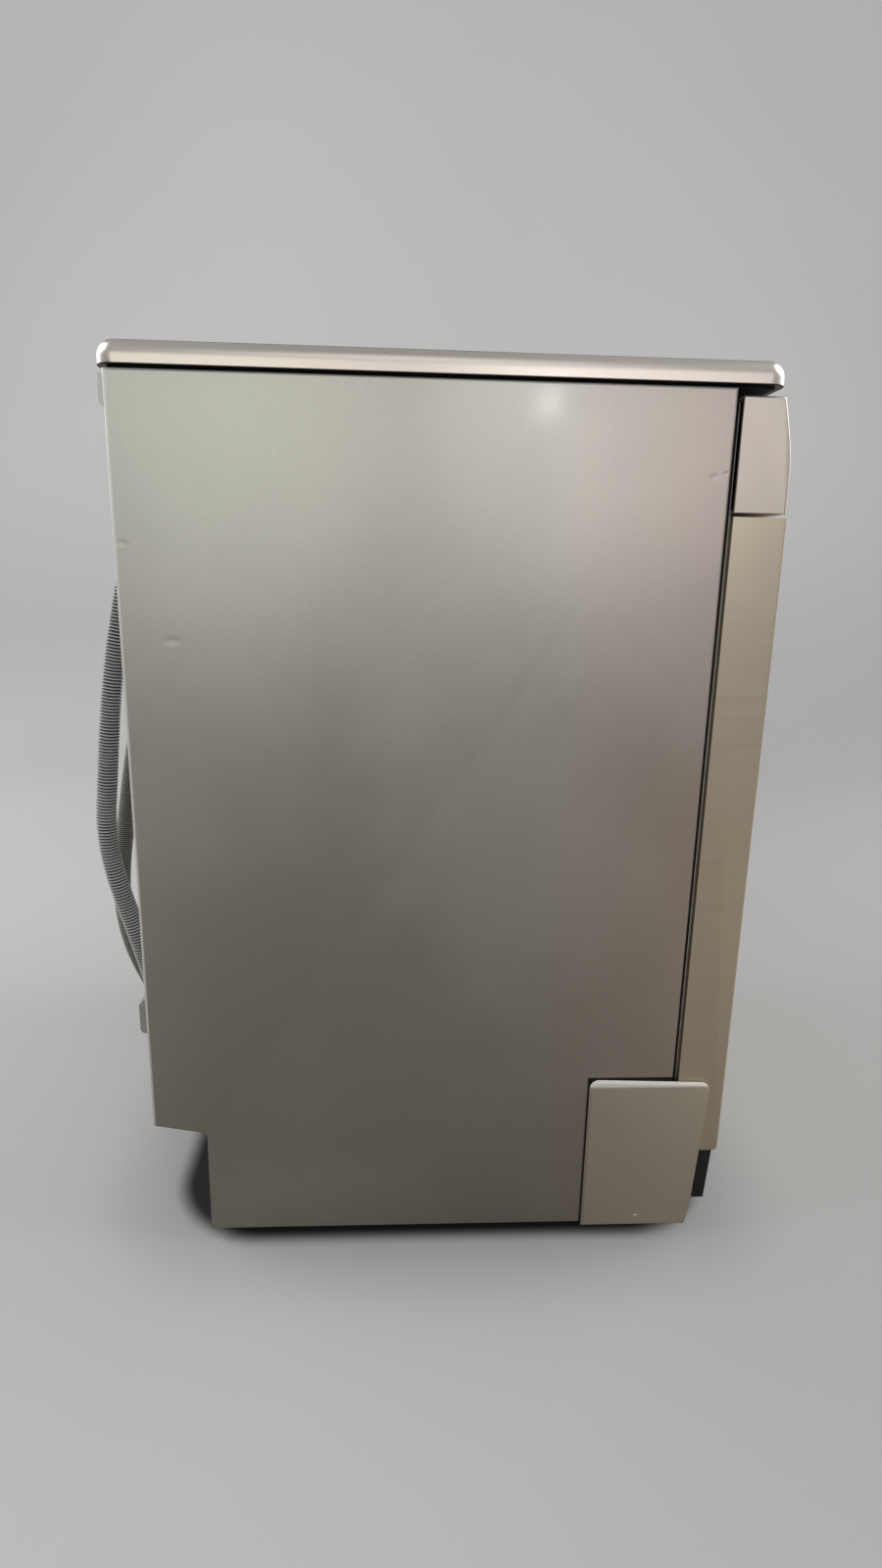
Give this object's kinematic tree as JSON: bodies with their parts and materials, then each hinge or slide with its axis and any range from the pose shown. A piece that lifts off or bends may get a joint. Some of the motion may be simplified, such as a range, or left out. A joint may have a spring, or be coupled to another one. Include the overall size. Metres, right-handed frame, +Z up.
{
  "type": "dishwasher",
  "caption": "Free-standing dishwasher with a drop-down door, a recessed black plinth, a rounded worktop, pull-out racks and spray arms inside, and ribbed hoses behind.",
  "frame": {"origin": "middle of the cabinet's footprint on the floor, halfway between its two sides and between the door's front and the rear clips", "axes": "+X to the machine's right as a user faces it, -Y out of the door's front, +Z up"},
  "size_m": [0.6, 0.6585, 0.85],
  "materials": {
    "panel_metal": "satin nickel-coloured paint with a fine sparkle",
    "door_metal": "fine brushed finish with a clear coat",
    "fascia": "satin nickel-coloured paint",
    "top_edge": "satin moulded edge",
    "board": "bare pressed board",
    "cover_plastic": "satin",
    "black_plastic": "fine grained",
    "grey_plastic": "satin",
    "pale_plastic": "satin",
    "white_plastic": "satin",
    "inner_steel": "fine brushed",
    "sheet_steel": "bare zinc coat",
    "seal_rubber": "matte",
    "hose_plastic": "satin",
    "cuff_rubber": "matte",
    "coated_wire": "satin nylon coat",
    "window_glass": "smoked",
    "rinse_blue": "clear blue",
    "foot_plastic": "matte"
  },
  "bodies": {
    "cabinet": {"worktop": "top_edge", "worktop_board": "board", "left_side_panel": "panel_metal", "right_side_panel": "panel_metal", "rear_panel": "sheet_steel", "base_rear_wall": "black_plastic", "rear_brackets": "pale_plastic", "rear_clips": "pale_plastic", "base_tray": "black_plastic", "plinth": "black_plastic", "left_hinge_cover": "cover_plastic", "right_hinge_cover": "cover_plastic", "tub_walls": "inner_steel", "tub_back": "inner_steel", "tub_frame": "inner_steel", "tub_seal": "seal_rubber", "tub_floor": "grey_plastic", "sump": "grey_plastic", "filter_plate": "inner_steel", "circulation_pump": "black_plastic", "drain_pump": "black_plastic", "inlet_valve": "white_plastic", "water_wall": "white_plastic", "spray_feed_pipe": "grey_plastic", "left_rail": "inner_steel", "right_rail": "inner_steel", "hinge_brackets": "sheet_steel", "hose_hooks": "black_plastic", "hose_outlets": "black_plastic", "drain_hose": "hose_plastic", "inlet_hose": "hose_plastic", "drain_hose_end": "cuff_rubber", "inlet_hose_nut": "grey_plastic"},
    "door": {"door_outer_panel": "door_metal", "door_liner": "inner_steel", "control_panel": "fascia", "display_window": "window_glass", "hinge_arms": "sheet_steel", "dispenser_body": "grey_plastic"},
    "power_button": {"power_button": "fascia"},
    "program_button": {"program_button": "fascia"},
    "start_button": {"start_button": "fascia"},
    "dispenser_lid": {"dispenser_lid": "pale_plastic"},
    "rinse_cap": {"rinse_cap": "rinse_blue"},
    "lower_rack": {"lower_rack": "coated_wire"},
    "front_wheels": {"front_wheels": "grey_plastic"},
    "rear_wheels": {"rear_wheels": "grey_plastic"},
    "folding_tines": {"folding_tines": "coated_wire"},
    "cutlery_basket": {"cutlery_basket": "grey_plastic"},
    "upper_rack": {"upper_rack": "coated_wire"},
    "middle_slides": {"middle_slides": "inner_steel"},
    "lower_spray_arm": {"lower_spray_arm": "grey_plastic"},
    "upper_spray_arm": {"upper_spray_arm": "grey_plastic"},
    "top_spray": {"top_spray": "grey_plastic"},
    "filter_cup": {"filter_cup": "pale_plastic"},
    "salt_cap": {"salt_cap": "grey_plastic"},
    "left_front_foot": {"left_front_foot": "foot_plastic"},
    "left_rear_foot": {"left_rear_foot": "foot_plastic"},
    "right_front_foot": {"right_front_foot": "foot_plastic"},
    "right_rear_foot": {"right_rear_foot": "foot_plastic"}
  },
  "joints": [
    {"name": "door_hinge", "type": "hinge", "parent": "cabinet", "child": "door", "pos_m": [0, -0.284, 0.103], "axis": [1, 0, 0], "range_deg": [0, 90]},
    {"name": "power_button_press", "type": "slide", "parent": "door", "child": "power_button", "axis": [0, 1, 0], "range_m": [0, 0.001], "stiffness_N_per_m": 400},
    {"name": "program_button_press", "type": "slide", "parent": "door", "child": "program_button", "axis": [0, 1, 0], "range_m": [0, 0.001], "stiffness_N_per_m": 400},
    {"name": "start_button_press", "type": "slide", "parent": "door", "child": "start_button", "axis": [0, 1, 0], "range_m": [0, 0.001], "stiffness_N_per_m": 400},
    {"name": "dispenser_lid_slide", "type": "slide", "parent": "door", "child": "dispenser_lid", "axis": [0, 0, 1], "range_m": [0, 0.07]},
    {"name": "rinse_cap_turn", "type": "hinge", "parent": "door", "child": "rinse_cap", "pos_m": [0.04, -0.2354, 0.56], "axis": [0, 1, 0], "range_deg": [0, 90]},
    {"name": "lower_rack_slide", "type": "slide", "parent": "cabinet", "child": "lower_rack", "axis": [0, -1, 0], "range_m": [0, 0.095]},
    {"name": "front_wheels_roll", "type": "hinge", "parent": "lower_rack", "child": "front_wheels", "pos_m": [0, -0.18, 0.1643], "axis": [1, 0, 0], "range_deg": [0, 301]},
    {"name": "rear_wheels_roll", "type": "hinge", "parent": "lower_rack", "child": "rear_wheels", "pos_m": [0, 0.18, 0.1643], "axis": [1, 0, 0], "range_deg": [0, 301]},
    {"name": "folding_tines_hinge", "type": "hinge", "parent": "lower_rack", "child": "folding_tines", "pos_m": [0, 0.062, 0.182], "axis": [-1, 0, 0], "range_deg": [0, 90]},
    {"name": "cutlery_basket_lift", "type": "slide", "parent": "lower_rack", "child": "cutlery_basket", "axis": [0, 0, 1], "range_m": [0, 0.05]},
    {"name": "upper_rack_slide", "type": "slide", "parent": "cabinet", "child": "upper_rack", "axis": [0, -1, 0], "range_m": [0, 0.472]},
    {"name": "middle_slides_slide", "type": "slide", "parent": "cabinet", "child": "middle_slides", "axis": [0, -1, 0], "range_m": [0, 0.236]},
    {"name": "lower_spray_spin", "type": "hinge", "parent": "cabinet", "child": "lower_spray_arm", "pos_m": [0, 0.007, 0.158], "axis": [0, 0, 1], "continuous": true},
    {"name": "upper_spray_spin", "type": "hinge", "parent": "upper_rack", "child": "upper_spray_arm", "pos_m": [0, 0.007, 0.453], "axis": [0, 0, 1], "continuous": true},
    {"name": "top_spray_spin", "type": "hinge", "parent": "cabinet", "child": "top_spray", "pos_m": [0, 0.007, 0.786], "axis": [0, 0, 1], "continuous": true},
    {"name": "filter_cup_turn", "type": "hinge", "parent": "cabinet", "child": "filter_cup", "pos_m": [0.046, 0.007, 0.136], "axis": [0, 0, 1], "range_deg": [0, 90]},
    {"name": "salt_cap_turn", "type": "hinge", "parent": "cabinet", "child": "salt_cap", "pos_m": [-0.17, -0.13, 0.14], "axis": [0, 0, 1], "range_deg": [0, 90]},
    {"name": "left_front_foot_turn", "type": "hinge", "parent": "cabinet", "child": "left_front_foot", "pos_m": [-0.25, -0.2, 0.02], "axis": [0, 0, 1], "continuous": true},
    {"name": "left_rear_foot_turn", "type": "hinge", "parent": "cabinet", "child": "left_rear_foot", "pos_m": [-0.25, 0.19, 0.02], "axis": [0, 0, 1], "continuous": true},
    {"name": "right_front_foot_turn", "type": "hinge", "parent": "cabinet", "child": "right_front_foot", "pos_m": [0.25, -0.2, 0.02], "axis": [0, 0, 1], "continuous": true},
    {"name": "right_rear_foot_turn", "type": "hinge", "parent": "cabinet", "child": "right_rear_foot", "pos_m": [0.25, 0.19, 0.02], "axis": [0, 0, 1], "continuous": true}
  ],
  "couplings": [
    {"joint": "lower_rack_slide", "follows": "door_hinge", "m_per_rad": 0.06},
    {"joint": "front_wheels_roll", "follows": "door_hinge", "ratio": 3.3333},
    {"joint": "rear_wheels_roll", "follows": "door_hinge", "ratio": 3.3333},
    {"joint": "upper_rack_slide", "follows": "door_hinge", "m_per_rad": 0.3},
    {"joint": "middle_slides_slide", "follows": "door_hinge", "m_per_rad": 0.15}
  ]
}
